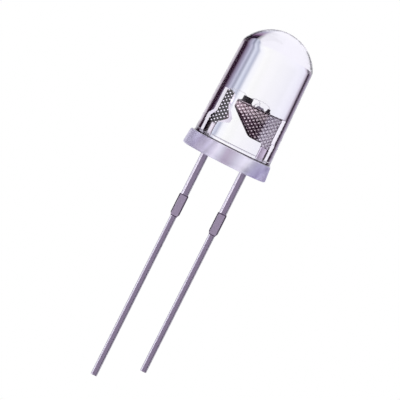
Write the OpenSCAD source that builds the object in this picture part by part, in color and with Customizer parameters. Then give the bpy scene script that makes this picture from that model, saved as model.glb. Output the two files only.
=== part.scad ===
// Through hole LED: a round water clear epoxy lamp with two stamped leads.
// Three dies sit side by side on the cathode's anvil, as in a lamp that changes colour by itself.
//
// Millimetres. The origin is the centre of the flange's underside, which is the seating plane.
// +Z runs along the optical axis towards the dome, the leads hang towards -Z, and +X points at
// the cathode and at the flat on the flange. Both leads are stamped in the XZ plane.

/* [Lens] */
// Diameter of the barrel where it meets the flange
lens_d = 5; // [4.8:0.05:5.3]
// Draft of the barrel, in degrees
lens_draft = 1.8; // [0.5:0.1:2.5]
// Height of the whole casting, from the seating plane to the top of the dome
body_h = 8.55; // [7.6:0.05:10]
// Height of the dome above the shoulder, where its arc would meet the barrel
dome_h = 1.5; // [1.3:0.05:1.9]
// Radius that blends the barrel into the dome at the shoulder
shoulder_blend_r = 0.8; // [0.3:0.05:1.2]

/* [Flange] */
// Distance that the flange stands out past the foot of the barrel
flange_lip = 0.3; // [0.25:0.01:0.45]
// Thickness of the flange
flange_h = 1; // [0.8:0.05:1.4]
// Radius of the flange's two rims
flange_rim_r = 0.12; // [0.05:0.01:0.2]
// Depth of the flat that marks the cathode, measured from the flange's edge
flat_depth = 0.15; // [0.08:0.01:0.2]

/* [Leads] */
// Distance between the centres of the two leads
lead_pitch = 2.54; // [2.4:0.02:2.8]
// Thickness of the sheet that both leads are stamped from
sheet_t = 0.5; // [0.44:0.01:0.6]
// Width of a lead between the casting and the stand-off
lead_w = 0.47; // [0.4:0.01:0.54]
// Width of the solder tail below the stand-off
tail_w = 0.39; // [0.3:0.01:0.45]
// Radius of the leads' long edges
lead_edge_r = 0.1; // [0.05:0.01:0.14]
// Radius that the punch leaves on a sharp corner of a lead's head
head_corner_r = 0.07; // [0.03:0.01:0.09]
// Distance from the seating plane down to the tip of the anode lead
anode_reach = 14.8; // [8:0.1:30]
// Distance from the seating plane down to the tip of the cathode lead
cathode_reach = 13.3; // [8:0.1:28]
// Height above the seating plane at which the leads widen into the anvil and the post
head_foot = 2; // [1.7:0.02:2.2]
// Length of the knurled neck between that height and the plain lead
neck_h = 0.2; // [0.1:0.01:0.25]
// Depth to which a head, a plain lead and a tail are rooted in the length next to them
root_h = 0.15; // [0.05:0.01:0.2]

/* [Stand-offs] */
// Distance from the seating plane down to the top of each stand-off
standoff_drop = 2.75; // [1:0.05:5]
// Length of a stand-off above its lower shoulder
standoff_len = 1.25; // [0.6:0.05:1.8]
// Width of a stand-off
standoff_w = 0.58; // [0.56:0.01:0.8]
// Length of the upper shoulder's slope
standoff_top_slope = 0.08; // [0.04:0.01:0.2]
// Length of the lower shoulder's slope
standoff_end_slope = 0.2; // [0.1:0.01:0.4]

/* [Anvil] */
// Height of the anvil's flat top above the seating plane
anvil_top = 3.76; // [3.5:0.02:4.4]
// Distance from the optical axis to the anvil's free side
anvil_reach = 0.69; // [0.63:0.01:0.76]
// Height of the anvil's free side, from its slope up to its top
anvil_nose_h = 0.5; // [0.3:0.02:0.8]
// Width of the anvil's lower edge, from the lead's inner side to the slope
anvil_foot_w = 0.66; // [0.5:0.02:0.8]
// Radius where the anvil's lower edge turns into its slope
anvil_foot_r = 0.35; // [0.15:0.01:0.45]
// Step from the lead's outer side in to the anvil's
anvil_step = 0.05; // [0.02:0.01:0.1]
// Rise of the anvil's top towards its outer corner
anvil_rise = 0.06; // [0.02:0.01:0.12]
// Drop of the coined bevel along the anvil's top edges, at its free side
bevel_drop = 0.13; // [0.06:0.01:0.16]
// Width of that bevel, across the sheet
bevel_in = 0.07; // [0.02:0.005:0.08]

/* [Post] */
// Height of the post's top above the seating plane
post_top = 4.03; // [3.7:0.02:4.6]
// Width of the post's knurled face at its top
post_w = 0.37; // [0.32:0.01:0.4]
// Step from the lead's outer side in to the post's
post_step = 0.2; // [0.15:0.01:0.29]
// Height of the post's waist, where the foot begins to widen, above the seating plane
post_waist = 3.15; // [2.9:0.02:3.4]
// Height of the top of the foot's short side above the seating plane
foot_top = 2.52; // [2.45:0.01:2.7]
// Height of the foot's short side
foot_side_h = 0.12; // [0.08:0.01:0.3]
// Width of the post's knurled face at its foot
foot_w = 0.63; // [0.55:0.01:0.66]
// Width of the smooth margin beside the post's knurled face
margin_w = 0.1; // [0.06:0.01:0.14]
// Width of that margin round the post's foot
margin_foot_w = 0.16; // [0.1:0.01:0.18]
// Depth of that margin below the knurled face
margin_depth = 0.08; // [0.05:0.01:0.12]
// Drop of the margin's top below the post's
margin_drop = 0.11; // [0.05:0.01:0.2]
// Radius of the post's waist
post_waist_r = 0.3; // [0.15:0.01:0.4]
// Radius of the corners of the post's foot
post_foot_r = 0.12; // [0.05:0.01:0.15]

/* [Knurl] */
// Spacing of the knurl's grooves
knurl_pitch = 0.17; // [0.14:0.01:0.25]
// Width of the flat land left between two grooves
knurl_land = 0.05; // [0.03:0.01:0.08]
// Depth of the grooves
knurl_depth = 0.04; // [0.02:0.005:0.06]
// Angle between a groove and the optical axis, in degrees
knurl_angle = 45; // [35:1:55]

/* [Dies] */
// Width of the control die, along the anvil
control_die_w = 0.4; // [0.3:0.01:0.46]
// Width of the control die, across the sheet
control_die_d = 0.26; // [0.22:0.01:0.3]
// Thickness of the control die
control_die_t = 0.32; // [0.15:0.01:0.4]
// Distance from the optical axis to the middle of the control die
control_die_off = 0.29; // [0.28:0.01:0.33]
// Width of the square clear emitter die
clear_die_w = 0.27; // [0.22:0.01:0.3]
// Thickness of the clear emitter die
clear_die_t = 0.11; // [0.08:0.01:0.2]
// Distance from the optical axis to the middle of the clear die
clear_die_off = 0.29; // [0.26:0.01:0.32]
// Width of the square dark emitter die
dark_die_w = 0.12; // [0.1:0.01:0.16]
// Thickness of the dark emitter die
dark_die_t = 0.21; // [0.12:0.01:0.3]
// Distance from the optical axis to the middle of the dark die
dark_die_off = 0.63; // [0.6:0.01:0.7]
// Thickness of the adhesive under each die
attach_t = 0.02; // [0.01:0.005:0.03]
// Height to which the adhesive climbs the sides of the control die and the clear die
attach_climb = 0.05; // [0.03:0.005:0.07]
// Height to which it climbs the sides of the narrow dark die
dark_climb = 0.1; // [0.06:0.01:0.11]
// Width of the adhesive's fillet round a die's foot
attach_fillet = 0.05; // [0.02:0.005:0.06]

/* [Bond wires] */
// Diameter of the bond wires
wire_d = 0.026; // [0.02:0.001:0.04]
// Diameter of the ball at each wire's first bond
ball_d = 0.07; // [0.05:0.005:0.08]
// Thickness of the flattened ball and stitch
bond_t = 0.028; // [0.02:0.002:0.04]
// Height of a wire's loop above the higher of its two bonds
loop_h = 0.12; // [0.08:0.01:0.2]

/* [Hidden] */

$fn = 96;
arc_steps = 5;         // straight steps in a rounded corner of a stamped outline
arc_share = 0.45;      // largest share of a side that the arc at its end takes
wire_sides = 8;        // sides of a bond wire
wire_rings = 14;       // rings along a bond wire

lens_r = lens_d / 2;
flange_r = lens_r + flange_lip;
shoulder_z = body_h - dome_h;
shoulder_r = lens_r - (shoulder_z - flange_h) * tan(lens_draft);
dome_r = (shoulder_r * shoulder_r + dome_h * dome_h) / (2 * dome_h);  // from a cap's radius and height
dome_c = [0, body_h - dome_r];

// The arc that blends barrel and dome. It touches both from inside, so its centre lies on the
// barrel's line moved in by its radius, at the difference of the two radii from the dome's centre.
barrel_up = [-sin(lens_draft), cos(lens_draft)];
barrel_out = [cos(lens_draft), sin(lens_draft)];
blend_from = [lens_r, flange_h] - shoulder_blend_r * barrel_out - dome_c;
blend_along = blend_from * barrel_up;
blend_c = dome_c + blend_from + barrel_up * (sqrt(pow(dome_r - shoulder_blend_r, 2)
    - blend_from * blend_from + blend_along * blend_along) - blend_along);
barrel_end = blend_c + shoulder_blend_r * barrel_out;
crown_way = unit(blend_c - dome_c);      // towards the point where the two arcs touch

// Both leads, measured outwards from the optical axis
lead_x = lead_pitch / 2;
lead_outer = lead_x + lead_w / 2;
lead_inner = lead_x - lead_w / 2;
lead_top = head_foot - neck_h;

// Dies, along the anvil
control_x = -control_die_off;
clear_x = clear_die_off;
dark_x = dark_die_off;
die_z = anvil_top + attach_t;
control_top = die_z + control_die_t;
clear_top = die_z + clear_die_t;
dark_top = die_z + dark_die_t;

// Bonds: a pair of pads across the control die and across the clear die
pad_y = control_die_d / 4;
control_pad_x = control_x + control_die_w / 2 - ball_d;
clear_pad_x = clear_x - clear_die_w / 2 + ball_d;
return_x = (control_x + control_die_w / 2 + clear_x - clear_die_w / 2) / 2;
post_middle = post_step - lead_outer + post_w / 2;

// ---- Outlines with rounded corners ----

function unit(v) = v / norm(v);

// The points that round corner b, between its neighbours a and c, by an arc of radius r that
// touches both sides. The radius is limited so that two arcs never meet on a side.
function corner(a, b, c, r) =
    let (
        to_a = unit(a - b),
        to_c = unit(c - b),
        half = acos(max(-1, min(1, to_a * to_c))) / 2,
        radius = min(r, tan(half) * min(norm(a - b), norm(c - b)) * arc_share),
        centre = b + unit(to_a + to_c) * radius / sin(half),
        first = b + to_a * radius / tan(half) - centre,
        last = b + to_c * radius / tan(half) - centre,
        start = atan2(first[1], first[0]),
        turn = (atan2(last[1], last[0]) - start + 540) % 360 - 180
    )
    [for (i = [0:arc_steps])
        centre + radius * [cos(start + turn * i / arc_steps), sin(start + turn * i / arc_steps)]];

// An outline from its corners, each given as [x, z, radius]. A radius of 0 keeps the corner sharp.
function outline(corners) =
    let (n = len(corners), at = [for (k = corners) [k[0], k[1]]])
    [for (i = [0:n - 1])
        for (p = corners[i][2] > 0
                ? corner(at[(i + n - 1) % n], at[i], at[(i + 1) % n], corners[i][2])
                : [at[i]])
            p];

// A plate of the given thickness, centred on the XZ plane
module plate(corners, t) {
    rotate([90, 0, 0])
        linear_extrude(height = t, center = true)
            polygon(outline(corners));
}

// A straight bar along Z with its four long edges rounded
module bar(w, t, r, z0, z1) {
    translate([0, 0, z0])
        linear_extrude(height = z1 - z0) {
            square([w - 2 * r, t], center = true);
            square([w, t - 2 * r], center = true);
            for (x = [-1, 1], y = [-1, 1])
                translate([x * (w / 2 - r), y * (t / 2 - r)])
                    circle(r);
        }
}

// ---- Epoxy ----

// What lies between two rays from the dome's centre, out to twice the length of each
module between_rays(a, b) {
    intersection() {
        children();
        polygon([dome_c, dome_c + 2 * a, dome_c + 2 * b]);
    }
}

// Half section of the casting, turned about the optical axis
module body_section() {
    translate([0, flange_rim_r])
        square([flange_r, flange_h - 2 * flange_rim_r]);
    square([flange_r - flange_rim_r, flange_h]);
    for (z = [flange_rim_r, flange_h - flange_rim_r])
        translate([flange_r - flange_rim_r, z])
            circle(flange_rim_r);
    polygon([[0, 0], [lens_r, 0], [lens_r, flange_h], barrel_end,
             dome_c + (dome_r - shoulder_blend_r / 2) * crown_way, [0, shoulder_z + dome_h / 2]]);
    between_rays(barrel_end - dome_c, dome_r * crown_way)
        translate(blend_c)
            circle(shoulder_blend_r);
    between_rays(dome_r * crown_way, [0, dome_r])
        translate(dome_c)
            circle(dome_r);
}

// The casting without the metal in it
module body_form() {
    difference() {
        rotate_extrude()
            body_section();
        translate([flange_r - flat_depth, -flange_r, -flange_h])
            cube([flange_r, 2 * flange_r, 3 * flange_h]);
    }
}

module epoxy_body() {
    color([0.93, 0.92, 0.97, 0.35])
        difference() {
            body_form();
            cathode_lead();
            anode_lead();
            control_die();
            clear_die();
            dark_die();
            control_die_attach();
            clear_die_attach();
            dark_die_attach();
            post_wire();
            clear_feed_wire();
            clear_return_wire();
            dark_feed_wire();
        }
}

// ---- Stamped leads ----

// A sheet with V grooves in both faces, which run in the XZ plane at the given angle to Z.
// Two of them at opposite angles leave a field of diamonds.
module grooved_sheet(angle, reach) {
    n = ceil(reach / knurl_pitch);
    side = (n + 0.5) * knurl_pitch;
    half = (knurl_pitch - knurl_land) / 2;
    face = [for (i = [-n:n]) for (k = [[-half, 0], [0, knurl_depth], [half, 0]])
        [i * knurl_pitch + k[0], k[1] - sheet_t / 2]];
    back = [for (i = [len(face) - 1:-1:0]) [face[i][0], -face[i][1]]];
    rotate([0, angle, 0])
        linear_extrude(height = 2 * side, center = true)
            polygon(concat([[-side, -sheet_t / 2]], face, [[side, -sheet_t / 2], [side, sheet_t / 2]],
                           back, [[-side, sheet_t / 2]]));
}

// A plate of the full sheet thickness with both faces knurled, about a centre in the XZ plane
module knurled_plate(corners, centre, reach) {
    intersection() {
        plate(corners, sheet_t);
        translate([centre[0], 0, centre[1]])
            grooved_sheet(knurl_angle, reach);
        translate([centre[0], 0, centre[1]])
            grooved_sheet(-knurl_angle, reach);
    }
}

// The wider block that stops the casting above the board, with sloping shoulders and a taper
// down to the solder tail
module standoff() {
    z0 = -standoff_drop;
    z1 = z0 - standoff_len;
    side = [[lead_w, z0], [standoff_w, z0 - standoff_top_slope], [standoff_w, z1],
            [tail_w, z1 - standoff_end_slope]];
    intersection() {
        plate(concat([for (k = side) [k[0] / 2, k[1], 0]],
                     [for (i = [len(side) - 1:-1:0]) [-side[i][0] / 2, side[i][1], 0]]), sheet_t);
        bar(standoff_w, sheet_t, lead_edge_r, z1 - standoff_end_slope, z0);
    }
}

// A lead below its head: plain lead, stand-off and solder tail, centred on Z
module lead(reach) {
    bar(lead_w, sheet_t, lead_edge_r, -standoff_drop - standoff_top_slope - root_h, lead_top);
    standoff();
    bar(tail_w, sheet_t, lead_edge_r, -reach, -standoff_drop - standoff_len + root_h);
}

// Corners of the tongue that roots a head in the plain lead below it, from the lead's right side
// to its left. It stays between the lead's rounded edges.
function tongue(right, left) = [
    [right, lead_top, 0],
    [right - lead_edge_r, lead_top, 0],
    [right - lead_edge_r, lead_top - root_h, 0],
    [left + lead_edge_r, lead_top - root_h, 0],
    [left + lead_edge_r, lead_top, 0],
    [left, lead_top, 0]
];

anvil_side = lead_outer - anvil_step;      // outer side of the anvil
bevel_end = dark_x + dark_die_w / 2;       // where the bevel runs out, beside the last die
anvil_corners = concat(
    [[-anvil_reach, anvil_top, head_corner_r],
     [bevel_end + attach_fillet, anvil_top, 0],
     [anvil_side, anvil_top + anvil_rise, head_corner_r],
     [anvil_side, head_foot + neck_h + anvil_step, 0],
     [lead_outer, head_foot + neck_h, 0]],
    tongue(lead_outer, lead_inner),
    [[lead_inner, head_foot, neck_h / 2],
     [lead_inner - anvil_foot_w, head_foot, anvil_foot_r],
     [-anvil_reach, anvil_top - anvil_nose_h, 2 * head_corner_r]]
);

// The wedge that the coining tool takes off one top edge of the anvil: deepest at the free side,
// and run out where the dies end
module top_bevel() {
    past = bevel_drop;     // the section at the free side is drawn this far past the anvil
    run = bevel_end + anvil_reach;
    deep = (run + past) / run;
    polyhedron(
        points = [
            [bevel_end, -sheet_t / 2, anvil_top],
            [-anvil_reach - past, -sheet_t / 2 - bevel_in, anvil_top + bevel_drop],
            [-anvil_reach - past, -sheet_t / 2 - bevel_in * deep, anvil_top - bevel_drop * 2 * deep],
            [-anvil_reach - past, -sheet_t / 2 + bevel_in * 2 * deep, anvil_top + bevel_drop * deep]
        ],
        faces = [[0, 2, 1], [0, 3, 2], [0, 1, 3], [1, 2, 3]]);
}

module cathode_lead() {
    color([0.62, 0.58, 0.66]) {
        translate([lead_x, 0, 0])
            lead(cathode_reach);
        difference() {
            knurled_plate(anvil_corners, [lead_outer / 2, (anvil_top + head_foot) / 2],
                          anvil_top - head_foot + anvil_reach);
            top_bevel();
            mirror([0, 1, 0])
                top_bevel();
        }
    }
}

// Corners of the post, grown by one margin on its inner side and by another round its foot, with
// its top lowered by the given drop
function post_corners(margin, foot_margin, drop) =
    let (outer = post_step - lead_outer, side = outer + foot_w + foot_margin)
    concat(
        [[outer, post_top - drop, head_corner_r],
         [outer + post_w + margin, post_top - drop, head_corner_r],
         [outer + post_w + margin, post_waist, post_waist_r],
         [side, foot_top, post_foot_r],
         [side - foot_side_h / 4, foot_top - foot_side_h - foot_margin, post_foot_r],
         [-lead_inner, head_foot - foot_margin / 4, post_foot_r]],
        tongue(-lead_inner, -lead_outer),
        [[-lead_outer, head_foot + neck_h, post_foot_r],
         [outer, foot_top + foot_side_h / 4, post_foot_r]]
    );

module anode_lead() {
    color([0.62, 0.58, 0.66]) {
        translate([-lead_x, 0, 0])
            lead(anode_reach);
        plate(post_corners(margin_w, margin_foot_w, margin_drop), sheet_t - 2 * margin_depth);
        knurled_plate(post_corners(0, 0, 0), [post_middle, (post_top + head_foot) / 2],
                      post_top - head_foot + foot_w);
    }
}

// ---- Dies and their adhesive ----

module die(x, w, d, t) {
    translate([x - w / 2, -d / 2, die_z])
        cube([w, d, t]);
}

// A prism along Y whose section narrows evenly from w + 2 * fillet at its foot to w at its top
module sloped(w, fillet, h, depth) {
    rotate([90, 0, 0])
        linear_extrude(height = depth, center = true)
            polygon([[-w / 2 - fillet, 0], [w / 2 + fillet, 0], [w / 2, h], [-w / 2, h]]);
}

// Adhesive under a die, with a fillet that slopes up round its foot on all four sides
module attach(x, w, d, t, climb) {
    h = attach_t + climb;
    difference() {
        translate([x, 0, anvil_top])
            intersection() {
                sloped(w, attach_fillet, h, d + 2 * attach_fillet);
                rotate([0, 0, 90])
                    sloped(d, attach_fillet, h, w + 2 * attach_fillet);
            }
        die(x, w, d, t);
    }
}

module control_die() {
    color([0.11, 0.09, 0.11])
        die(control_x, control_die_w, control_die_d, control_die_t);
}

module clear_die() {
    color([0.7, 0.7, 0.74])
        die(clear_x, clear_die_w, clear_die_w, clear_die_t);
}

module dark_die() {
    color([0.16, 0.13, 0.16])
        die(dark_x, dark_die_w, dark_die_w, dark_die_t);
}

module control_die_attach() {
    color([0.7, 0.69, 0.68])
        attach(control_x, control_die_w, control_die_d, control_die_t, attach_climb);
}

module clear_die_attach() {
    color([0.7, 0.69, 0.68])
        attach(clear_x, clear_die_w, clear_die_w, clear_die_t, attach_climb);
}

module dark_die_attach() {
    color([0.7, 0.69, 0.68])
        attach(dark_x, dark_die_w, dark_die_w, dark_die_t, dark_climb);
}

// ---- Bond wires ----

// A point on the cubic curve with end points a and d and control points b and c
function bezier(a, b, c, d, s) =
    pow(1 - s, 3) * a + 3 * pow(1 - s, 2) * s * b + 3 * (1 - s) * s * s * c + pow(s, 3) * d;

// A round tube along a path in a vertical plane, closed at both ends. Each ring lies across the
// path, between the plane's own normal and a second direction at right angles to it.
module tube(path, d) {
    last = len(path) - 1;
    across = unit(cross(path[last] - path[0], [0, 0, 1]));
    rings = [for (i = [0:last])
        let (
            along = unit(path[min(i + 1, last)] - path[max(i - 1, 0)]),
            up = cross(along, across)
        )
        for (k = [0:wire_sides - 1])
            let (a = 360 * k / wire_sides)
            path[i] + d / 2 * (cos(a) * across + sin(a) * up)];
    walls = [for (i = [0:last - 1], k = [0:wire_sides - 1])
        let (
            p = i * wire_sides + k,
            q = i * wire_sides + (k + 1) % wire_sides
        )
        [p, q, q + wire_sides, p + wire_sides]];
    ends = [[for (k = [wire_sides - 1:-1:0]) k],
            [for (k = [0:wire_sides - 1]) last * wire_sides + k]];
    polyhedron(points = rings, faces = concat(walls, ends));
}

// A wire from a ball on one surface to a stitch on another. It rises straight off the ball,
// and comes down to the stitch at a slope.
module bond_wire(ball, stitch) {
    start = ball + [0, 0, bond_t / 2];
    end = stitch + [0, 0, wire_d / 2];
    crest = max(ball[2], stitch[2]) + 4 / 3 * loop_h;
    lean = 0.25 * (start - end);
    path = [for (i = [0:wire_rings])
        bezier(start, [start[0], start[1], crest],
               [end[0] + lean[0], end[1] + lean[1], crest], end, i / wire_rings)];
    tube(path, wire_d);
    translate(ball)
        cylinder(h = bond_t, d = ball_d);
    translate(stitch)
        cylinder(h = bond_t, d = ball_d);
}

module post_wire() {
    color([0.85, 0.78, 0.6])
        bond_wire([control_x - control_die_w / 2 + ball_d, 0, control_top],
                  [post_middle, 0, post_top]);
}

module clear_feed_wire() {
    color([0.85, 0.78, 0.6])
        bond_wire([clear_pad_x, -pad_y, clear_top], [control_pad_x, -pad_y, control_top]);
}

module clear_return_wire() {
    color([0.85, 0.78, 0.6])
        bond_wire([clear_pad_x, pad_y, clear_top], [return_x, pad_y, anvil_top]);
}

module dark_feed_wire() {
    color([0.85, 0.78, 0.6])
        bond_wire([dark_x, 0, dark_top], [control_pad_x, pad_y, control_top]);
}

epoxy_body();
cathode_lead();
anode_lead();
control_die();
clear_die();
dark_die();
control_die_attach();
clear_die_attach();
dark_die_attach();
post_wire();
clear_feed_wire();
clear_return_wire();
dark_feed_wire();
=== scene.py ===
"""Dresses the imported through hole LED.

A water clear epoxy casting holds a plated leadframe, three dies with their adhesive, and four bond
wires. Everything is in metres in the CAD frame: +Z runs along the optical axis towards the dome,
+X points at the cathode, and the origin is the centre of the flange's underside.
"""

import logging
import math
from dataclasses import dataclass, field
from enum import Enum
from typing import Any, Iterable, Sequence

import bpy
import numpy as np
from mathutils import Matrix, Vector


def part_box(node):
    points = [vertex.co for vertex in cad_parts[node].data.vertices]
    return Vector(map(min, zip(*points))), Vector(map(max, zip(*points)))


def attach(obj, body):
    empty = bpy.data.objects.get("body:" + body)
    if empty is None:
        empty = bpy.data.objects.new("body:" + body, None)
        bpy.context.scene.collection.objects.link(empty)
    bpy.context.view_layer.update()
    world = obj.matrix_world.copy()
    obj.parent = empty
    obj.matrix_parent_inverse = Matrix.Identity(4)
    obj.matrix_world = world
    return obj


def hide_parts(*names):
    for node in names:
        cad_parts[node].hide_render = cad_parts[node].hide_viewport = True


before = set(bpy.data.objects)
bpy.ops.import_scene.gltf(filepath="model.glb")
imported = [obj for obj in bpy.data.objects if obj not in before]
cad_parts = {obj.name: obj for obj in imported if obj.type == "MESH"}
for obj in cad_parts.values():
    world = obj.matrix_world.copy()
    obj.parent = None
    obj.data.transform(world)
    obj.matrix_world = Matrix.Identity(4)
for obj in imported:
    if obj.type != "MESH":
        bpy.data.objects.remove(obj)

LOG = logging.getLogger("through_hole_led")
MM = 0.001
Colour = tuple[float, float, float, float]
Span = tuple[float, float]            # two values between which something changes
Stops = list[tuple[float, str]]       # a colour ramp's positions and hex colours
Socket = bpy.types.NodeSocket
Tree = bpy.types.NodeTree


# ---- Shared helpers ----


class Rule(Enum):
    """How a value follows from its inputs: a Math node's operation, or FADE for a Map Range."""

    SIZE = "ABSOLUTE"                 # the input without its sign
    SIGN = "SIGN"
    ANGLE = "ARCTAN2"                 # from the second input's axis towards the first's
    PLUS = "ADD"
    MINUS = "SUBTRACT"
    TIMES = "MULTIPLY"                # of two masks, where both are
    EITHER = "MAXIMUM"                # of two masks, where either is
    ABOVE = "GREATER_THAN"
    BELOW = "LESS_THAN"
    NEAR = "COMPARE"                  # where the first is at most the third away from the second
    SCALED = "MULTIPLY_ADD"           # the first times the second, plus the third
    FADE = "MAP_RANGE"                # the first, from the second to the third, becomes 0 to 1, or
                                      # the fourth to the fifth


Recipe = list[tuple[str, Rule, *tuple[str | float, ...]]]


def linear(hex_colour: str) -> Colour:
    """Turns an sRGB hex colour into linear light with full alpha."""
    parts = [int(hex_colour[i:i + 2], 16) / 255 for i in (1, 3, 5)]
    return (*[c / 12.92 if c <= 0.04045 else ((c + 0.055) / 1.055) ** 2.4 for c in parts], 1.0)


def node(tree: Tree, kind: str, sockets: dict[str | int, Any] | None = None,
         stops: Sequence[tuple[float, str]] = (), **settings: Any) -> bpy.types.Node:
    """Adds a node with its settings, input values and links.

    Args:
        tree: The node tree that gets it.
        kind: The node's type, such as "ShaderNodeMath".
        sockets: A value or a source socket for each input, by name or index.
        stops: Positions and hex colours of a colour ramp.
        settings: The node's own properties.

    Returns:
        The new node.
    """
    made = tree.nodes.new(kind)
    for name, value in settings.items():
        setattr(made, name, value)
    for key, value in (sockets or {}).items():
        if isinstance(value, Socket):
            tree.links.new(value, made.inputs[key])
        else:
            made.inputs[key].default_value = value
    for index, (position, colour) in enumerate(stops):
        elements = made.color_ramp.elements
        stop = elements[index] if index < 2 else elements.new(position)
        stop.position, stop.color = position, linear(colour)
    return made


def follow(tree: Tree, recipe: Recipe, got: dict[str, Socket]) -> None:
    """Adds a node for each row of a recipe.

    Args:
        tree: The node tree that gets them.
        recipe: For each value its name, its rule and its inputs, by name or as numbers.
        got: The values that are there, by name. Those of the recipe are added.
    """
    for name, rule, *inputs in recipe:
        sockets = {i: got[v] if isinstance(v, str) else v for i, v in enumerate(inputs)}
        made = (node(tree, "ShaderNodeMapRange", sockets) if rule is Rule.FADE
                else node(tree, "ShaderNodeMath", sockets, operation=rule.value))
        got[name] = made.outputs[0]


def new_mesh(name: str, points: np.ndarray, faces: Sequence[Sequence[int]],
             sharp: float) -> bpy.types.Object:
    """Makes a smooth shaded mesh object at the origin.

    Args:
        name: Name of the object and its mesh.
        points: Vertices in metres, one row each.
        faces: Vertex indices of each face, counter-clockwise seen from outside.
        sharp: Edges that turn by more than this angle, in radians, stay sharp.

    Returns:
        The object, linked to the scene.
    """
    mesh = bpy.data.meshes.new(name)
    mesh.from_pydata(points.tolist(), [], faces)
    mesh.polygons.foreach_set("use_smooth", np.ones(len(mesh.polygons), bool))
    mesh.set_sharp_from_angle(angle=sharp)
    mesh.update()
    made = bpy.data.objects.new(name, mesh)
    bpy.context.scene.collection.objects.link(made)
    return made


def arc(centre: Sequence[float], radius: float, start: float, end: float,
        steps: int) -> np.ndarray:
    """Points of an arc: centre + radius (cos a, sin a), for a from start to end in degrees."""
    a = np.radians(np.linspace(start, end, steps + 1))
    return np.stack([centre[0] + radius * np.cos(a), centre[1] + radius * np.sin(a)], axis=1)


def lathe_faces(rings: int, sides: int) -> np.ndarray:
    """Joins closed rings of vertices: (i, j), (i, j + 1), (i + 1, j + 1), (i + 1, j) make a quad.

    Args:
        rings: How many rings i there are.
        sides: Vertices j in each ring. The last one is joined to the first.

    Returns:
        Vertex indices, one quad a row.
    """
    i, j = np.meshgrid(np.arange(rings - 1), np.arange(sides), indexing="ij")
    k = (j + 1) % sides
    quads = [i * sides + j, i * sides + k, (i + 1) * sides + k, (i + 1) * sides + j]
    return np.stack(quads, axis=-1).reshape(-1, 4)


# ---- Finishes ----


class Slot(Enum):
    """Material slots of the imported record."""

    EPOXY = "clear_epoxy"
    LEADS = "tinned_steel"
    SILICON = "control_silicon"
    CLEAR_DIE = "clear_crystal"
    DARK_DIE = "dark_crystal"
    ADHESIVE = "silver_adhesive"
    WIRE = "bond_metal"


def blank(name: str) -> tuple[bpy.types.Material, Tree, Socket]:
    """Makes a material that has no shader yet.

    Args:
        name: The material's name.

    Returns:
        The material, its tree, and the socket of the Object coordinates.
    """
    made = bpy.data.materials.new(name)
    made.use_nodes = True
    made.node_tree.nodes.clear()
    return made, made.node_tree, node(made.node_tree, "ShaderNodeTexCoord").outputs["Object"]


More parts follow.
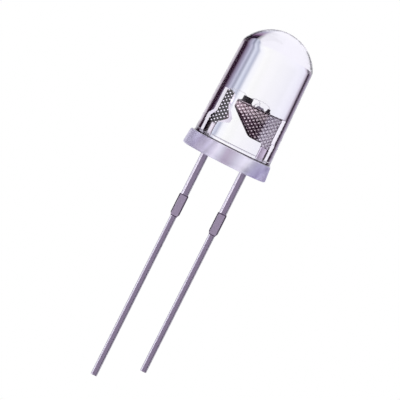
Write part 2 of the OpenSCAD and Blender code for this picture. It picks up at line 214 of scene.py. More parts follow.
@dataclass(frozen=True)
class CastEpoxy:
    """Water clear casting epoxy. The lens copies a polished mould and is glossy. The flange copies
    the mould's etched seat, so it scatters light and looks milky, with soft upright bands of
    painted light and shade, which stand for reflections in its curved face and for the leads seen
    through it."""

    tint: str = "#FEFEFF"
    ior: float = 1.53
    lens_roughness: float = 0.0
    frost_roughness: float = 0.22
    frost_body: float = 0.72          # share of the flange's light that its milky body scatters
    crease: str = "#100C14"           # painted shade in the crease between the flange and the lens
    crease_inside: str = "#8A8694"    # the same from inside, through the epoxy
    crease_z: float = 1.036 * MM
    crease_h: float = 0.07 * MM
    frost_top: float = 0.985 * MM
    frost_fade: float = 0.02 * MM
    reach: float = 3.0 * MM           # distance from the axis at which the painted bands' colours end
    slant: float = 0.8                # how far a band there leans, for each unit of height
    middle_z: float = 0.5 * MM
    sway: float = 0.05 * MM           # how far a band wanders from upright
    sway_size: float = 1.2 * MM

    def painted_light_bands(self) -> Stops:
        """Lists the painted bands of light and shade.

        Returns:
            Stops: places across the casting from 0 to 1, and hex colours.
        """
        places = [(-2.6, "#C1BED4"), (-2.4, "#C2C0D6"), (-2.0, "#A9A3BC"), (-1.6, "#B2ADC0"),
                  (-1.4, "#BEB9CE"), (-1.2, "#A8A4B5"), (-1.0, "#C3BFD1"), (-0.8, "#DBD9E6"),
                  (-0.6, "#CECEDC"), (-0.4, "#BAB8C6"), (-0.2, "#A99FB3"), (0.0, "#A89EB1"),
                  (0.2, "#B1AABB"), (0.4, "#BEBAC9"), (0.6, "#CFCFDC"), (0.8, "#DEDDE9"),
                  (1.0, "#E8E7F2"), (1.2, "#E0E0E9"), (1.4, "#BBBBCA"), (1.8, "#B4B2D0"),
                  (2.2, "#A39DC3"), (2.4, "#C2BFE0"), (2.6, "#C6C0DF")]
        return [((x * MM + self.reach) / (2 * self.reach), colour) for x, colour in places]

    def masks(self) -> Recipe:
        """Lists how each value is made.

        The frost is switched by height above the seating plane, and only seen from outside. The
        place of a painted band is x - slant |x| (z - middle) / reach, plus a little noise.

        Returns:
            The recipe.
        """
        half = self.frost_fade / 2
        return [
            ("lens", Rule.FADE, "z", self.frost_top - half, self.frost_top + half),
            ("clear", Rule.EITHER, "lens", "inside"),
            ("rough", Rule.FADE, "clear", 0.0, 1.0, self.frost_roughness, self.lens_roughness),
            ("through", Rule.FADE, "clear", 0.0, 1.0, 1 - self.frost_body, 1.0),
            ("crease", Rule.NEAR, "z", self.crease_z, self.crease_h / 2),
            ("raised", Rule.MINUS, "z", self.middle_z),
            ("off_axis", Rule.SIZE, "x"),
            ("spread", Rule.TIMES, "off_axis", -self.slant / self.reach),
            ("slanted", Rule.SCALED, "raised", "spread", "x"),
            ("swayed", Rule.SCALED, "drift", 2 * self.sway, "slanted"),
            ("across", Rule.FADE, "swayed", self.sway - self.reach, self.sway + self.reach),
        ]

    def material(self) -> bpy.types.Material:
        """Builds the material: painted bands of light and shade, then the clear lens, then the
        painted shade in the crease.

        Returns:
            The material.
        """
        made, tree, place = blank("cast_epoxy")
        split = node(tree, "ShaderNodeSeparateXYZ", {0: place})
        inside = node(tree, "ShaderNodeNewGeometry").outputs["Backfacing"]
        drift = node(tree, "ShaderNodeTexNoise",
                     {"Vector": place, "Scale": 1 / self.sway_size, "Detail": 1.0})
        got = {"x": split.outputs["X"], "z": split.outputs["Z"], "inside": inside,
               "drift": drift.outputs[0]}
        follow(tree, self.masks(), got)
        # Painted bands of light and shade on the milky flange.
        milk_and_shade = node(tree, "ShaderNodeValToRGB", {0: got["across"]}, stops=self.painted_light_bands())
        # Painted shade in the crease, darker seen from outside than through the epoxy.
        painted_shade = node(tree, "ShaderNodeMix", {"Factor": inside, "A": linear(self.crease),
                                            "B": linear(self.crease_inside)}, data_type="RGBA")
        body = milk_and_shade.outputs[0]
        for mask, over in (("clear", linear(self.tint)), ("crease", painted_shade.outputs["Result"])):
            body = node(tree, "ShaderNodeMix", {"Factor": got[mask], "A": body, "B": over},
                        data_type="RGBA").outputs["Result"]
        shader = node(tree, "ShaderNodeBsdfPrincipled", {
            "Base Color": body, "Roughness": got["rough"], "Transmission Weight": got["through"],
            "IOR": self.ior})
        node(tree, "ShaderNodeOutputMaterial", {"Surface": shader.outputs[0]})
        return made


@dataclass(frozen=True)
class PlatedStrip:
    """Steel strip, punched and plated: dull tin on the leads and bright silver on the heads. Fine
    drawing lines run along the leads, and one side of each lead gets a painted highlight. The
    knurl's grooves carry painted shade, black on the post and paler on the cathode's side, where
    the crests are also drawn wider to paint it lighter. Lines of painted shade run along the
    punched edges, and one frames each stand-off."""

    tin: str = "#D0CED9"
    tin_pale: str = "#DCDAE4"
    coined: str = "#F0EFF6"           # the stand-offs, which the punch has pressed smooth
    outline_shade: str = "#5E5264"       # painted shade that frames a stand-off
    neck: str = "#B8AEBE"             # the cathode's lead inside the casting
    silver: str = "#F6F2FA"
    pink_silver: str = "#FFF0F4"      # the anvil's crests, left of its right part, tinted pink
    painted_shade: str = "#1C1018"
    tin_roughness: float = 0.32
    silver_roughness: float = 0.12
    crest_roughness: float = 0.3
    silver_foot: float = 1.0 * MM
    silver_fade: float = 0.2 * MM
    knurl_foot: float = 1.85 * MM
    shade_change: Span = (2.9 * MM, 3.3 * MM)    # heights where the painted groove shade darkens
    half_sheet: float = 0.25 * MM
    crest_depth: float = 0.015 * MM   # how far down the rubbed crests reach
    crest_fade: float = 0.006 * MM
    brightened_x: float = 0.78 * MM         # beyond here, and high up, wider crests paint the anvil lighter
    brightened_depth: float = 0.032 * MM
    margin_sunk: float = 0.08 * MM / 1.5         # two thirds of the depth of the post's margin
    margin_lean: float = 0.6          # sideways lean of the shading, which shows a bright card
    crest_lean: float = -0.9
    brightened_lean: float = 0.15           # what is added to that on the right part of the anvil
    # lean of the shading on the painted highlight strip
    highlight_lean: float = -0.9
    reach: float = 2.0 * MM           # axis distance at which the painted shade's colours end
    broad_from: float = 0.5           # the normal's Y above which a face is broad, or a flank
    flat_from: float = 0.95           # the same for a flat face
    edge_radius: float = 0.1 * MM     # how near an edge its painted shade starts
    edge_samples: int = 8
    edge_turn: Span = (0.96, 0.88)    # turn cosines where that painted shade starts, and is full
    standoff: Span = (-4.2 * MM, -2.78 * MM)
    end_line: float = 0.05 * MM
    lead_x: float = 1.27 * MM
    highlight_strip: float = 0.1 * MM          # where the painted highlight strip on a lead begins, from its middle
    burr_z: float = 3.685 * MM        # painted shade line under the anvil's coined burr, on the axis
    burr_rise: float = 0.04           # how far it rises for each unit across
    burr_line: float = 0.05 * MM
    burr_x: float = -0.75 * MM
    slope_fall: float = 1.104         # the anvil's slope: how far it falls for each unit across
    slope_z: float = 2.498 * MM       # where that slope would meet the axis
    slope_width: float = 0.09 * MM
    slope_spill: float = 0.6          # share of that width which the line fills to either side
    foot_z: float = 2.0 * MM
    foot_width: float = 0.06 * MM
    foot_end: float = 0.95 * MM
    mottle: float = 1.4 * MM          # patches of paler tin
    draw_line: float = 0.05 * MM      # coarser than the real lines, which are too fine to show
    draw_stretch: float = 0.03        # a line's thickness for each unit of its length
    draw_depth: float = 0.00625 * MM
    draw_strength: float = 0.12

    def across(self, places: Stops) -> Stops:
        """Stops across the leadframe from 0 to 1, from places in millimetres."""
        return [((x * MM + self.reach) / (2 * self.reach), colour) for x, colour in places]

    def masks(self) -> Recipe:
        """Lists how each value is made.

        A broad face's own normal points across the sheet, a groove's flank leans, and an edge face
        looks along the sheet. So the size of the normal's Y tells the three apart.

        Returns:
            The recipe.
        """
        low, high = self.standoff
        crest_foot = self.half_sheet - self.crest_depth
        return [
            ("across", Rule.FADE, "x", -self.reach, self.reach),
            ("turned", Rule.FADE, "turn", *self.edge_turn),
            ("silver", Rule.FADE, "z", self.silver_foot, self.silver_foot + self.silver_fade),
            ("smooth", Rule.FADE, "silver", 0.0, 1.0, self.tin_roughness, self.silver_roughness),
            ("raised", Rule.FADE, "z", *self.shade_change),
            ("facing", Rule.SIZE, "normal_y"),
            ("deep", Rule.SIZE, "y"),
            ("anvil", Rule.ABOVE, "x", self.burr_x),
            ("right_part", Rule.ABOVE, "x", self.brightened_x),
            # Wider crests on the anvil's right part and high up paint it lighter.
            ("brightened_part", Rule.EITHER, "raised", "right_part"),
            ("brightened", Rule.TIMES, "brightened_part", "anvil"),
            ("height", Rule.SCALED, "brightened", self.brightened_depth, "deep"),
            ("high", Rule.FADE, "height", crest_foot, crest_foot + self.crest_fade),
            ("broad", Rule.ABOVE, "facing", self.broad_from),
            ("flat", Rule.ABOVE, "facing", self.flat_from),
            ("curved", Rule.MINUS, 1.0, "flat"),
            ("head", Rule.ABOVE, "z", self.knurl_foot),
            ("knurled", Rule.TIMES, "broad", "head"),
            ("plain", Rule.MINUS, "broad", "knurled"),
            ("neck", Rule.TIMES, "plain", "silver"),
            ("sunk", Rule.BELOW, "deep", self.half_sheet - self.margin_sunk),
            ("level", Rule.TIMES, "flat", "head"),
            ("margin", Rule.TIMES, "sunk", "level"),
            ("crest", Rule.TIMES, "high", "knurled"),
            ("anvil_crest", Rule.TIMES, "crest", "anvil"),
            ("low", Rule.MINUS, "knurled", "crest"),
            ("groove", Rule.MINUS, "low", "margin"),
            ("high_groove", Rule.TIMES, "groove", "raised"),
            # Painted shade where an edge's rounding turns the normal, on the knurled faces.
            ("turned_edge", Rule.TIMES, "turned", "knurled"),
            ("worked", Rule.MINUS, 1.0, "margin"),
            ("edge", Rule.TIMES, "turned_edge", "worked"),
            ("pressed", Rule.NEAR, "z", (low + high) / 2, (high - low) / 2),
            # The stand-off's rounded sides and end lines get painted shade.
            ("top_line", Rule.NEAR, "z", high - self.end_line / 2, self.end_line / 2),
            ("foot_line", Rule.NEAR, "z", low + self.end_line / 2, self.end_line / 2),
            ("rounding", Rule.TIMES, "curved", "broad"),
            ("lines", Rule.EITHER, "top_line", "foot_line"),
            ("outline", Rule.EITHER, "rounding", "lines"),
            ("framed", Rule.TIMES, "outline", "pressed"),
            # Painted shade lines on the anvil: under the burr, along its slope and its foot.
            ("sloped", Rule.SCALED, "x", -self.burr_rise, "z"),
            ("burr", Rule.NEAR, "sloped", self.burr_z, self.burr_line / 2),
            ("anvil_face", Rule.TIMES, "knurled", "anvil"),
            ("slope", Rule.SCALED, "x", self.slope_fall, "z"),
            ("slope_line", Rule.NEAR, "slope", self.slope_z + self.slope_width / 2,
             self.slope_spill * self.slope_width),
            ("anvil_foot", Rule.BELOW, "z", self.foot_z + self.foot_width),
            ("inner", Rule.BELOW, "x", self.foot_end),
            ("foot_part", Rule.TIMES, "anvil_foot", "inner"),
            ("underline", Rule.EITHER, "slope_line", "foot_part"),
            ("shade_line", Rule.EITHER, "burr", "underline"),
            ("anvil_line_shade", Rule.TIMES, "shade_line", "anvil_face"),
            # A painted highlight strip on one side of each lead outside the casting.
            ("far", Rule.SIZE, "x"),
            ("side", Rule.SIGN, "x"),
            ("off", Rule.MINUS, "far", self.lead_x),
            ("off_middle", Rule.TIMES, "off", "side"),
            ("left_part", Rule.BELOW, "off_middle", -self.highlight_strip),
            ("outside", Rule.BELOW, "z", 0.0),
            ("bare", Rule.MINUS, "flat", "pressed"),
            ("bare_left", Rule.TIMES, "left_part", "outside"),
            ("highlight_strip", Rule.TIMES, "bare_left", "bare"),
            ("anode", Rule.BELOW, "x", 0.0),
            ("anode_neck", Rule.TIMES, "neck", "anode"),
            ("lit", Rule.EITHER, "margin", "anode_neck"),
            ("crest_way", Rule.SCALED, "right_part", self.brightened_lean, self.crest_lean),
            ("crest_lean", Rule.TIMES, "crest", "crest_way"),
            ("lit_lean", Rule.SCALED, "lit", self.margin_lean, "crest_lean"),
            ("lean", Rule.SCALED, "highlight_strip", self.highlight_lean, "lit_lean"),
        ]

    def layers(self) -> list[tuple[str, str | Stops]]:
        """Lists the layers of colour over the dull tin, from the bottom up.

        Returns:
            For each layer its mask's name, and a hex colour or stops across the leadframe.
        """
        return [
            ("mottle", self.tin_pale),
            ("pressed", self.coined),
            # Painted highlight: silver on one side of each lead.
            ("highlight_strip", self.silver),
            ("silver", self.silver),
            # Painted shade: the anode's neck black on its left, dark lines on the cathode's.
            ("neck", self.across([(-1.29, self.painted_shade), (-1.25, self.silver), (0.9, self.silver),
                                  (1.0, self.painted_shade), (1.05, self.painted_shade), (1.08, self.neck),
                                  (1.43, self.neck), (1.46, self.painted_shade)])),
            # Painted groove shade: near black on the post, paler where the light falls brighter.
            ("groove", self.across([(-0.9, "#080408"), (-0.75, "#86707E"), (0.0, "#6A5262"),
                                    (0.6, "#5C4654"), (0.75, "#7A6876"), (0.9, "#A898AA"),
                                    (1.5, "#B8AABC")])),
            ("high_groove", self.across([(-0.9, "#080408"), (-0.75, "#74545E"), (0.0, "#64424E"),
                                         (0.6, "#543A46"), (0.9, "#6A5464"), (1.5, "#8A7488")])),
            ("anvil_crest", self.across([(-0.75, self.pink_silver), (0.65, self.pink_silver),
                                         (0.85, self.silver)])),
            # Painted shade for dark reflections along the heads' edges.
            ("edge", self.across([(-0.9, "#0A060A"), (-0.7, "#6A4A58"), (0.1, "#3A2630"),
                                  (0.6, "#2E1E28"), (0.9, "#88788C"), (1.4, "#A898AC"),
                                  (1.44, self.painted_shade)])),
            # Painted shade: a line round each stand-off.
            ("framed", self.outline_shade),
            # Painted shade lines on the anvil's face.
            ("anvil_line_shade", self.painted_shade),
        ]

    def material(self) -> bpy.types.Material:
        """Builds the material from place, facing, the edges' own rounding and stretched noise.

        Returns:
            The material.
        """
        made, tree, place = blank("plated_strip")
        split = node(tree, "ShaderNodeSeparateXYZ", {0: place})
        normal = node(tree, "ShaderNodeNewGeometry").outputs["Normal"]
        facing = node(tree, "ShaderNodeSeparateXYZ", {0: normal})
        rounded = node(tree, "ShaderNodeBevel", {"Radius": self.edge_radius},
                       samples=self.edge_samples)
        turn = node(tree, "ShaderNodeVectorMath", {0: rounded.outputs[0], 1: normal},
                    operation="DOT_PRODUCT")
        mottle = node(tree, "ShaderNodeTexNoise",
                      {"Vector": place, "Scale": 1 / self.mottle, "Detail": 4.0})
        got = {"x": split.outputs["X"], "y": split.outputs["Y"], "z": split.outputs["Z"],
               "normal_y": facing.outputs["Y"], "turn": turn.outputs["Value"],
               "mottle": mottle.outputs[0]}
        follow(tree, self.masks(), got)
        colour: Colour | Socket = linear(self.tin)
        for name, paint in self.layers():
            over = linear(paint) if isinstance(paint, str) else node(
                tree, "ShaderNodeValToRGB", {0: got["across"]}, stops=paint).outputs[0]
            colour = node(tree, "ShaderNodeMix", {"Factor": got[name], "A": colour, "B": over},
                          data_type="RGBA").outputs["Result"]
        rough = node(tree, "ShaderNodeMix", {"Factor": got["crest"], "A": got["smooth"],
                                             "B": self.crest_roughness})
        sideways = node(tree, "ShaderNodeCombineXYZ", {"X": got["lean"]})
        leaning = node(tree, "ShaderNodeVectorMath", {0: sideways.outputs[0], 1: normal},
                       operation="ADD")
        lines = node(tree, "ShaderNodeMapping",
                     {"Vector": place, "Scale": (1.0, 1.0, self.draw_stretch)})
        drawn = node(tree, "ShaderNodeTexNoise",
                     {"Vector": lines.outputs[0], "Scale": 1 / self.draw_line, "Detail": 2.0})
        bump = node(tree, "ShaderNodeBump",
                    {"Strength": self.draw_strength, "Distance": self.draw_depth,
                     "Height": drawn.outputs[0], "Normal": leaning.outputs[0]})
        shader = node(tree, "ShaderNodeBsdfPrincipled", {
            "Base Color": colour, "Metallic": 1.0, "Roughness": rough.outputs[0],
            "Normal": bump.outputs[0]})
        node(tree, "ShaderNodeOutputMaterial", {"Surface": shader.outputs[0]})
        return made


@dataclass(frozen=True)
class SawnCrystal:
    """A sawn die: a polished top with fine saw marks on its sides, which dull them."""

    name: str
    sides: str
    top: str
    roughness: float
    metallic: float = 0.0
    top_lean: Span = (0.5, 0.9)       # normal's Z over which a side gives way to the top
    saw: float = 0.02 * MM            # coarser than the real marks, which are too fine to show
    saw_stretch: float = 0.1          # a mark's height for each unit of its length
    saw_depth: float = 0.005 * MM
    saw_strength: float = 0.3

    def material(self) -> bpy.types.Material:
        """Builds the material: the top's colour on faces that look up, saw marks on the others.

        Returns:
            The material.
        """
        made, tree, place = blank(self.name)
        normal = node(tree, "ShaderNodeNewGeometry").outputs["Normal"]
        facing = node(tree, "ShaderNodeSeparateXYZ", {0: normal})
        up = node(tree, "ShaderNodeMapRange",
                  {"Value": facing.outputs["Z"], "From Min": self.top_lean[0],
                   "From Max": self.top_lean[1]})
        marks = node(tree, "ShaderNodeMapping",
                     {"Vector": place, "Scale": (self.saw_stretch, self.saw_stretch, 1.0)})
        noise = node(tree, "ShaderNodeTexNoise",
                     {"Vector": marks.outputs[0], "Scale": 1 / self.saw, "Detail": 2.0})
        colour = node(tree, "ShaderNodeMix", {"Factor": up.outputs[0], "A": linear(self.sides),
                                              "B": linear(self.top)}, data_type="RGBA")
        bump = node(tree, "ShaderNodeBump",
                    {"Strength": self.saw_strength, "Distance": self.saw_depth,
                     "Height": noise.outputs[0]})
        shader = node(tree, "ShaderNodeBsdfPrincipled", {
            "Base Color": colour.outputs["Result"], "Metallic": self.metallic,
            "Roughness": self.roughness, "Normal": bump.outputs[0]})
        node(tree, "ShaderNodeOutputMaterial", {"Surface": shader.outputs[0]})
        return made


@dataclass(frozen=True)
class FlakedMetal:
    """Metal with a fine broken surface: silver flakes in cured adhesive, or soft drawn wire."""

    name: str
    pale: str
    deep: str
    roughness: float
    metallic: float
    grain: float                      # size of a flake, or of a mark on the wire
    relief: float = 0.25              # its height as a share of its size
    relief_strength: float = 0.2

    def material(self) -> bpy.types.Material:
        """Builds the material from one noise, which sets the colour and the bump.

        Returns:
            The material.
        """
        made, tree, place = blank(self.name)
        noise = node(tree, "ShaderNodeTexNoise",
                     {"Vector": place, "Scale": 1 / self.grain, "Detail": 2.0})
        colour = node(tree, "ShaderNodeMix", {"Factor": noise.outputs[0], "A": linear(self.deep),
                                              "B": linear(self.pale)}, data_type="RGBA")
        bump = node(tree, "ShaderNodeBump",
                    {"Strength": self.relief_strength, "Distance": self.grain * self.relief,
                     "Height": noise.outputs[0]})
        shader = node(tree, "ShaderNodeBsdfPrincipled", {
            "Base Color": colour.outputs["Result"], "Metallic": self.metallic,
            "Roughness": self.roughness, "Normal": bump.outputs[0]})
        node(tree, "ShaderNodeOutputMaterial", {"Surface": shader.outputs[0]})
        return made


# ---- Casting ----


@dataclass
class Casting:
    """The epoxy casting: flange with a flat, drafted barrel and dome, as one solid of revolution.

    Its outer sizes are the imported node's own. The others are the casting's sizes in the source.
    """

    node_name: str = "epoxy_body"
    lens_r: float = 2.5 * MM
    draft: float = math.radians(1.8)
    flange_h: float = 1.0 * MM
    rim_r: float = 0.12 * MM
    rim_draft: float = math.radians(4.5)
    dome_h: float = 1.5 * MM
    shoulder_r: float = 0.8 * MM      # radius that blends the barrel into the dome
    foot_r: float = 0.04 * MM         # fillet between the flange and the barrel
    sides: int = 256
    base_start: float = 0.15          # the underside's first ring, as a share of its outer one
    base_rings: int = 6
    round_steps: int = 8              # steps of each rounding of the flange
    barrel_rings: int = 20
    shoulder_steps: int = 16
    dome_steps: int = 56
    dome_end: float = 89.2            # the last ring's angle in degrees, just short of the axis
    flat_start: float = 0.8           # share of the barrel's radius where the flat begins to pull
    crisp: float = math.radians(14)   # an edge that turns by more stays sharp
    finish: CastEpoxy = field(default_factory=CastEpoxy)

    def rims(self, flange_r: float) -> Span:
        """Radii at which the flange's lower and upper roundings have their centres."""
        foot = flange_r - self.rim_r
        return foot, foot - self.flange_h * math.tan(self.rim_draft)

    def profile(self, flange_r: float, height: float) -> np.ndarray:
        """Half section from the underside's centre out and up to the top of the dome.

        The dome is the arc through the shoulder and the top. The blend is the arc that touches the
        barrel's line and the dome's arc from inside: its centre lies on the line moved in by its
        radius, and its distance from the dome's centre is the difference of the two radii.

        Args:
            flange_r: Radius of the flange.
            height: Height of the casting.

        Returns:
            Points (radius, height), one row each, without the two on the axis.
        """
        shoulder_z = height - self.dome_h
        top_r = self.lens_r - (shoulder_z - self.flange_h) * math.tan(self.draft)
        dome_r = (top_r ** 2 + self.dome_h ** 2) / (2 * self.dome_h)
        dome_z = height - dome_r
        along = np.array([-math.sin(self.draft), math.cos(self.draft)])
        outward = np.array([math.cos(self.draft), math.sin(self.draft)])
        start = np.array([self.lens_r, self.flange_h]) - self.shoulder_r * outward
        gap = start - np.array([0.0, dome_z])
        half_b = float(gap @ along)
        reach = (dome_r - self.shoulder_r) ** 2 - float(gap @ gap) + half_b ** 2
        blend = start + along * (math.sqrt(reach) - half_b)
        blend_end = math.degrees(math.atan2(blend[1] - dome_z, blend[0]))
        barrel_end = blend + self.shoulder_r * outward
        foot = self.lens_r + self.foot_r
        rim, rim_top = self.rims(flange_r)
        draft, rim_draft = math.degrees(self.draft), math.degrees(self.rim_draft)
        base = np.linspace(self.base_start, 1, self.base_rings) * rim
        parts = [
            np.stack([base, np.zeros(self.base_rings)], axis=1)[:-1],
            arc((rim, self.rim_r), self.rim_r, -90, rim_draft, self.round_steps),
            arc((rim_top, self.flange_h - self.rim_r), self.rim_r, rim_draft, 90,
                self.round_steps),
            arc((foot, self.flange_h + self.foot_r), self.foot_r, -90, -180 + draft,
                self.round_steps),
            np.linspace([foot - self.foot_r, self.flange_h + self.foot_r], barrel_end,
                        self.barrel_rings)[1:-1],
            arc(blend, self.shoulder_r, draft, blend_end, self.shoulder_steps),
            arc((0, dome_z), dome_r, blend_end, self.dome_end, self.dome_steps)[1:],
        ]
        return np.concatenate(parts)

    def build(self) -> bpy.types.Object:
        """Makes the casting's mesh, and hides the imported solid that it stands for.

        Each ring's radius is the profile's. On the flange it is drawn in to the flat by the same
        length along the whole rim, so that the rim's rounding follows the flat: with R(a) =
        min(flange radius, flat / cos a), the radius falls by (flange radius - R(a)) times a share
        that grows from 0 at the barrel to 1 at the rim.

        Returns:
            The casting.
        """
        low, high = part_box(self.node_name)
        flange_r, flat_x, height = high[1], high[0], high[2] - low[2]
        section = self.profile(flange_r, height)
        turn = np.linspace(-math.pi, math.pi, self.sides, endpoint=False)
        corner = math.acos(flat_x / flange_r)
        for edge in (-corner, corner):
            turn[np.argmin(np.abs(turn - edge))] = edge
        with np.errstate(divide="ignore"):
            outline = np.where(np.abs(turn) <= corner, flat_x / np.cos(turn), flange_r)
        rim, rim_top = self.rims(flange_r)
        inner, foot = self.flat_start * self.lens_r, self.lens_r + self.foot_r
        share = np.where(section[:, 1] > self.flange_h - self.rim_r,
                         np.clip((section[:, 0] - foot) / (rim_top - foot), 0, 1),
                         np.clip((section[:, 0] - inner) / (rim - inner), 0, 1))
        radius = section[:, :1] - share[:, None] * (flange_r - outline)[None, :]
        points = np.stack([radius * np.cos(turn), radius * np.sin(turn),
                           np.broadcast_to(section[:, 1:], radius.shape)], axis=-1).reshape(-1, 3)
        rings = len(section)
        first = np.arange(self.sides)
        following = (first + 1) % self.sides
        last = (rings - 1) * self.sides
        base, top = np.full(self.sides, len(points)), np.full(self.sides, len(points) + 1)
        points = np.concatenate([points, [[0, 0, 0], [0, 0, height]]])
        faces = [*lathe_faces(rings, self.sides).tolist(),
                 *np.stack([base, following, first], axis=1).tolist(),
                 *np.stack([last + first, last + following, top], axis=1).tolist()]
        made = new_mesh("lens_casting", points, faces, self.crisp)
        made.data.materials.append(self.finish.material())
        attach(made, "root")
        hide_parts(self.node_name)
        LOG.info("%s: %d faces in place of %s", made.name, len(made.data.polygons), self.node_name)
        return made


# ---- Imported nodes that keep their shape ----


@dataclass
class Dressing:
    """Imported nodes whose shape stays, their material slot, and the finish that they share."""

    slot: Slot
    nodes: Sequence[str]
    finish: PlatedStrip | SawnCrystal | FlakedMetal

    def build(self) -> None:
        """Puts the finish into the nodes' material slot of the record."""
        material = self.finish.material()
        for name in self.nodes:
            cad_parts[name].material_slots[self.slot.value].material = material
            LOG.info("%s: %s", name, material.name)


# ---- Studio ----


@dataclass
class Camera:
    """A long lens a little above the seating plane, turned so that the optical axis leans."""

    lean: float = math.radians(26.75)
    rise: float = math.radians(3.1)
    distance: float = 0.25
    view_width: float = 23.75 * MM    # what it sees across, at that distance
    sensor: float = 36.0              # in millimetres
    clip_start: float = 0.01
    aim: tuple[float, float, float] = (-0.30 * MM, 0.0, -2.65 * MM)

    def build(self) -> None:
        """Places the camera and makes it the scene's own."""
        look = Vector((0, math.cos(self.rise), -math.sin(self.rise)))
        side = Vector((1, 0, 0))
        up = side.cross(look)
        right = math.cos(self.lean) * side + math.sin(self.lean) * up
        head = -math.sin(self.lean) * side + math.cos(self.lean) * up
        data = bpy.data.cameras.new("camera")
        data.sensor_width, data.lens = self.sensor, self.sensor * self.distance / self.view_width
        data.clip_start = self.clip_start
        made = bpy.data.objects.new("camera", data)
        bpy.context.scene.collection.objects.link(made)
        turn = Matrix((right, head, -look)).transposed().to_4x4()
        made.matrix_world = Matrix.Translation(Vector(self.aim) - look * self.distance) @ turn
        bpy.context.scene.camera = made


@dataclass(frozen=True)
class Lamp:
    """A soft square lamp that faces the origin. Only dull surfaces show its light."""

    name: str
    at: tuple[float, float, float]
    size: float = 0.3
    power: float = 0.3                # in watts
    colour: str = "#FFFFFF"

    def build(self) -> None:
        """Adds the lamp, unseen by the camera, in reflections and through the epoxy."""
        data = bpy.data.lights.new(self.name, "AREA")
        data.shape, data.size, data.energy = "SQUARE", self.size, self.power
        data.color = linear(self.colour)[:3]
        made = bpy.data.objects.new(self.name, data)
        made.location = self.at
        made.rotation_mode = "QUATERNION"
        made.rotation_quaternion = (-Vector(self.at)).to_track_quat("-Z", "Y")
        made.visible_camera = False
        made.visible_glossy = False
        made.visible_transmission = False
        bpy.context.scene.collection.objects.link(made)


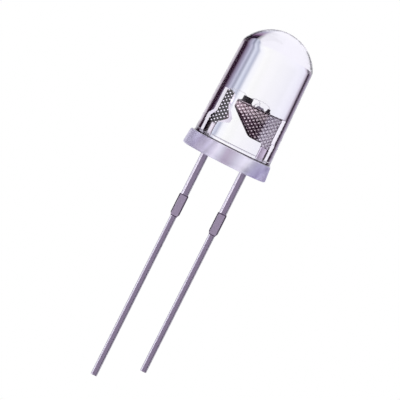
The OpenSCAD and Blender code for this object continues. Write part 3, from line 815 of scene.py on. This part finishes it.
@dataclass
class Surroundings:
    """What the epoxy and the metal show: cards round the horizon, a pale ground and a pale sky.

    Directions are compass degrees, from 0 at +Y through 90 at +X. Heights are sines of the angle
    above the horizon. The ring of cards leans as it goes down, other cards stand over it, and
    below a slanted edge it gives way to the ground, which a dim skirt shades under the dark card
    behind on the right. The camera sees plain white. A surface's reflection sees a dim card on the
    left, which keeps the lens's edge there dark, and light that has passed through the epoxy
    without a reflection sees a pale front, so that the lens looks clear from behind.
    """

    pale: str = "#F8F6FF"
    dim: str = "#2A1428"
    plain: str = "#FFFFFF"
    card_lean: float = 0.06           # turns that a card moves back for each unit of height
    upper_from: Span = (0.02, 0.12)   # heights over which the ring gives way to the cards over it
    sky_from: Span = (0.75, 0.95)     # heights over which those give way to the sky
    ground_from: Span = (-0.315, -0.345)         # heights over which the ground begins
    ground_slant: Span = (20.0, 36.0)            # directions between which that edge drops
    ground_drop: float = 0.12
    ground_y: Span = (-0.75, -0.5)    # there is no ground right in front
    skirt_start: Span = (30.0, 42.0)  # directions
    skirt_end: Span = (95.0, 130.0)
    dim_card: Span = (-84.0, -40.0)   # directions of the card's two edges
    front_y: Span = (-0.12, -0.35)    # the direction's Y over which the pale front begins
    no_reflection: float = 0.5        # fewer reflections than one
    key_way: tuple[float, float, float] = (-0.86, -0.47, 0.2)
    key_cone: Span = (0.75, 0.97)     # cosines from that way over which its glow grows
    key_glow: float = 1.0
    lift: float = 0.02                # strength that makes up for what the epoxy's surface loses

    @staticmethod
    def turns(degrees: Iterable[float]) -> list[float]:
        """Directions in turns, with half a turn added."""
        return [(d + 180) / 360 for d in degrees]

    def round_compass(self, cards: Stops) -> Stops:
        """Stops from 0 to 1 round the compass, from directions in degrees."""
        return list(zip(self.turns(d for d, _ in cards), (colour for _, colour in cards)))

    def ring(self) -> Stops:
        """Lists the ring of cards.

        Returns:
            Stops: places round the compass from 0 to 1, and hex colours.
        """
        return self.round_compass([
            (-172, "#A898B0"), (-165, "#1E1222"), (-157, "#1E1222"), (-150, "#B6ACBC"),
            (-128, "#F4F2FA"), (-92, "#F0ECF4"), (-76, "#A898A8"), (-66, "#6A586E"),
            (-61, "#1E0A20"), (-57, "#1E0A20"), (-52, "#CABFD2"), (-45, "#F2F0FF"),
            (10, "#FFFFFF"), (17, "#F4F4FC"), (21, "#AEB2C8"), (26, "#D8DCEE"),
            (30, "#8A8CA4"), (34, "#C0C0D8"), (40, "#9C94AE"), (44, "#7C6C84"),
            (48, "#2A1228"), (58, "#2A1228"), (62, "#7A6A78"), (68, "#B4A4B0"),
            (80, "#C8BAC4"), (95, "#F4F0F6"), (106, "#E4E0EA"), (116, "#140A14"),
            (165, "#1E1222"), (172, "#A898B0")])

    def upper(self) -> Stops:
        """Lists the cards over the ring.

        Returns:
            Stops: places round the compass from 0 to 1, and hex colours.
        """
        return self.round_compass([
            (-171, "#B8A8BE"), (-150, "#B6ACBC"), (-120, "#F4F2FA"), (-92, "#E6E0EA"),
            (-74, "#A898A8"), (-64, "#1E0A20"), (-26, "#1E0A20"), (-14, "#F8F6FF"),
            (110, "#F8F6FF"), (152, "#B6ACBC"), (171, "#B8A8BE")])

    @staticmethod
    def skirt() -> Stops:
        """The skirt's stops: depths below the horizon, and hex colours."""
        return [(0.0, "#1E0A24"), (0.53, "#1E0A24"), (0.57, "#8A6A90"), (0.61, "#A890AC"),
                (0.68, "#B4ACC8"), (0.78, "#D0D0DE"), (0.90, "#D0D0DC")]

    def masks(self) -> Recipe:
        """Lists how each value is made, from a direction's three parts and the kind of ray.

        Returns:
            The recipe.
        """
        left, right = self.turns(self.dim_card)
        return [
            ("angle", Rule.ANGLE, "x", "y"),
            ("compass", Rule.FADE, "angle", -math.pi, math.pi),
            ("leaning", Rule.SCALED, "z", self.card_lean, "compass"),
            ("high", Rule.FADE, "z", *self.upper_from),
            ("slant", Rule.FADE, "compass", *self.turns(self.ground_slant), 0.0, self.ground_drop),
            ("drop", Rule.PLUS, "z", "slant"),
            ("low", Rule.FADE, "drop", *self.ground_from),
            ("behind", Rule.FADE, "y", *self.ground_y),
            ("ground", Rule.TIMES, "low", "behind"),
            ("depth", Rule.MINUS, 0.0, "z"),
            ("started", Rule.FADE, "compass", *self.turns(self.skirt_start)),
            ("ended", Rule.FADE, "compass", *self.turns(self.skirt_end), 1.0, 0.0),
            ("skirted", Rule.TIMES, "started", "ended"),
            ("sky", Rule.FADE, "z", *self.sky_from),
            ("card", Rule.NEAR, "compass", (left + right) / 2, (right - left) / 2),
            # Glossy rays that are no transmission rays are pure reflections.
            ("reflected", Rule.MINUS, "glossy", "transmitted"),
            ("mirrored", Rule.TIMES, "card", "reflected"),
            ("straight", Rule.BELOW, "reflections", self.no_reflection),
            ("passed", Rule.TIMES, "straight", "transmitted"),
            ("facing", Rule.FADE, "y", *self.front_y),
            ("front", Rule.TIMES, "passed", "facing"),
            ("lifted", Rule.PLUS, "glow", self.lift),
            ("unseen", Rule.MINUS, 1.0, "seen"),
            ("strength", Rule.SCALED, "lifted", "unseen", 1.0),
        ]

    def build(self) -> None:
        """Makes the world: each layer lies over those before it, where its mask is."""
        made = bpy.data.worlds.new("studio")
        bpy.context.scene.world = made
        made.use_nodes = True
        tree = made.node_tree
        tree.nodes.clear()
        way = node(tree, "ShaderNodeTexCoord").outputs["Generated"]
        split = node(tree, "ShaderNodeSeparateXYZ", {0: way})
        ray = node(tree, "ShaderNodeLightPath")
        key = node(tree, "ShaderNodeVectorMath", {0: way, 1: self.key_way},
                   operation="DOT_PRODUCT")
        glow = node(tree, "ShaderNodeMapRange",
                    {"Value": key.outputs["Value"], "From Min": self.key_cone[0],
                     "From Max": self.key_cone[1], "To Min": 0.0, "To Max": self.key_glow},
                    interpolation_type="SMOOTHERSTEP")
        got = {"x": split.outputs["X"], "y": split.outputs["Y"], "z": split.outputs["Z"],
               "seen": ray.outputs["Is Camera Ray"], "glossy": ray.outputs["Is Glossy Ray"],
               "transmitted": ray.outputs["Is Transmission Ray"],
               "reflections": ray.outputs["Glossy Depth"], "glow": glow.outputs[0]}
        follow(tree, self.masks(), got)
        ring = node(tree, "ShaderNodeValToRGB", {0: got["leaning"]}, stops=self.ring())
        upper = node(tree, "ShaderNodeValToRGB", {0: got["compass"]}, stops=self.upper())
        skirt = node(tree, "ShaderNodeValToRGB", {0: got["depth"]}, stops=self.skirt())
        pale, dim, plain = linear(self.pale), linear(self.dim), linear(self.plain)
        ground = node(tree, "ShaderNodeMix", {"Factor": got["skirted"], "A": pale,
                                              "B": skirt.outputs[0]}, data_type="RGBA")
        colour = ring.outputs[0]
        for mask, over in (("high", upper.outputs[0]), ("ground", ground.outputs["Result"]),
                           ("sky", pale), ("mirrored", dim), ("front", pale), ("seen", plain)):
            colour = node(tree, "ShaderNodeMix", {"Factor": got[mask], "A": colour, "B": over},
                          data_type="RGBA").outputs["Result"]
        back = node(tree, "ShaderNodeBackground", {"Color": colour, "Strength": got["strength"]})
        node(tree, "ShaderNodeOutputWorld", {"Surface": back.outputs[0]})


@dataclass
class Floor:
    """A round pale floor, flat, in rings of quads about its middle."""

    z: float = -50 * MM
    radius: float = 200 * MM
    sides: int = 96
    rings: int = 12
    hub: float = 0.1                  # share of the radius that the middle face takes
    colour: str = "#F2F0F5"
    roughness: float = 0.8

    def build(self) -> None:
        """Lays the floor: ring i has the radius radius (hub + (1 - hub) i / (rings - 1))."""
        turn = np.linspace(0, 2 * math.pi, self.sides, endpoint=False)
        radius = np.linspace(self.hub, 1, self.rings)[:, None] * self.radius
        flat = np.stack([radius * np.cos(turn), radius * np.sin(turn),
                         np.full((self.rings, self.sides), self.z)], axis=-1).reshape(-1, 3)
        faces = [*lathe_faces(self.rings, self.sides)[:, ::-1].tolist(), [*range(self.sides)]]
        made = new_mesh("floor", flat, faces, math.pi)
        material, tree, _ = blank("studio_floor")
        shader = node(tree, "ShaderNodeBsdfPrincipled",
                      {"Base Color": linear(self.colour), "Roughness": self.roughness})
        node(tree, "ShaderNodeOutputMaterial", {"Surface": shader.outputs[0]})
        made.data.materials.append(material)
        made.visible_glossy = False
        made.visible_transmission = False


@dataclass
class Studio:
    """Camera, surroundings, floor and lamps."""

    camera: Camera = field(default_factory=Camera)
    surroundings: Surroundings = field(default_factory=Surroundings)
    floor: Floor = field(default_factory=Floor)
    lamps: Sequence[Lamp] = (Lamp("top_box", (0.05, -0.05, 0.30)),
                             Lamp("front_box", (-0.05, -0.30, 0.06)))

    def build(self) -> None:
        """Sets up the whole studio."""
        bpy.context.scene.view_settings.view_transform = "Standard"
        for part in (self.camera, self.surroundings, self.floor, *self.lamps):
            part.build()


# ---- Assembly ----


def main() -> None:
    """Builds the studio and every piece in order."""
    logging.basicConfig(level=logging.INFO, format="%(message)s")
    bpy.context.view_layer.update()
    Studio().build()
    Casting().build()
    Dressing(Slot.LEADS, ["cathode_lead", "anode_lead"], PlatedStrip()).build()
    # Silicon is charcoal, sapphire grey where the bright anvil shows through it, and gallium
    # phosphide dark and glossier.
    Dressing(Slot.SILICON, ["control_die"],
             SawnCrystal("sawn_silicon", sides="#0E0A0E", top="#1C161E", roughness=0.55)).build()
    Dressing(Slot.CLEAR_DIE, ["clear_die"],
             SawnCrystal("sawn_sapphire", sides="#8E8A98", top="#B4B0BE", roughness=0.2)).build()
    Dressing(Slot.DARK_DIE, ["dark_die"],
             SawnCrystal("sawn_phosphide", sides="#2A2028", top="#3A2C36", roughness=0.3)).build()
    # Adhesive is grey and speckled where it is full of silver flakes. Under the control die and
    # the dark die it is painted dark, as shade round their feet. Its flakes are drawn coarser than
    # the real ones, which are too fine to show.
    Dressing(Slot.ADHESIVE, ["clear_die_attach"],
             FlakedMetal("silver_epoxy", pale="#A59EA8", deep="#5F5560", roughness=0.5,
                         metallic=0.6, grain=0.02 * MM)).build()
    Dressing(Slot.ADHESIVE, ["control_die_attach", "dark_die_attach"],
             FlakedMetal("dark_epoxy", pale="#2A1A28", deep="#1A1018", roughness=0.6,
                         metallic=0.0, grain=0.02 * MM)).build()
    # Bond wire is painted near white: so thin a wire takes the brightness of what stands round it.
    Dressing(Slot.WIRE, ["post_wire", "clear_feed_wire", "clear_return_wire", "dark_feed_wire"],
             FlakedMetal("bond_wire", pale="#FFFFFF", deep="#F6F2F4", roughness=0.7,
                         metallic=0.2, grain=0.03 * MM)).build()


if __name__ == "__main__":
    main()
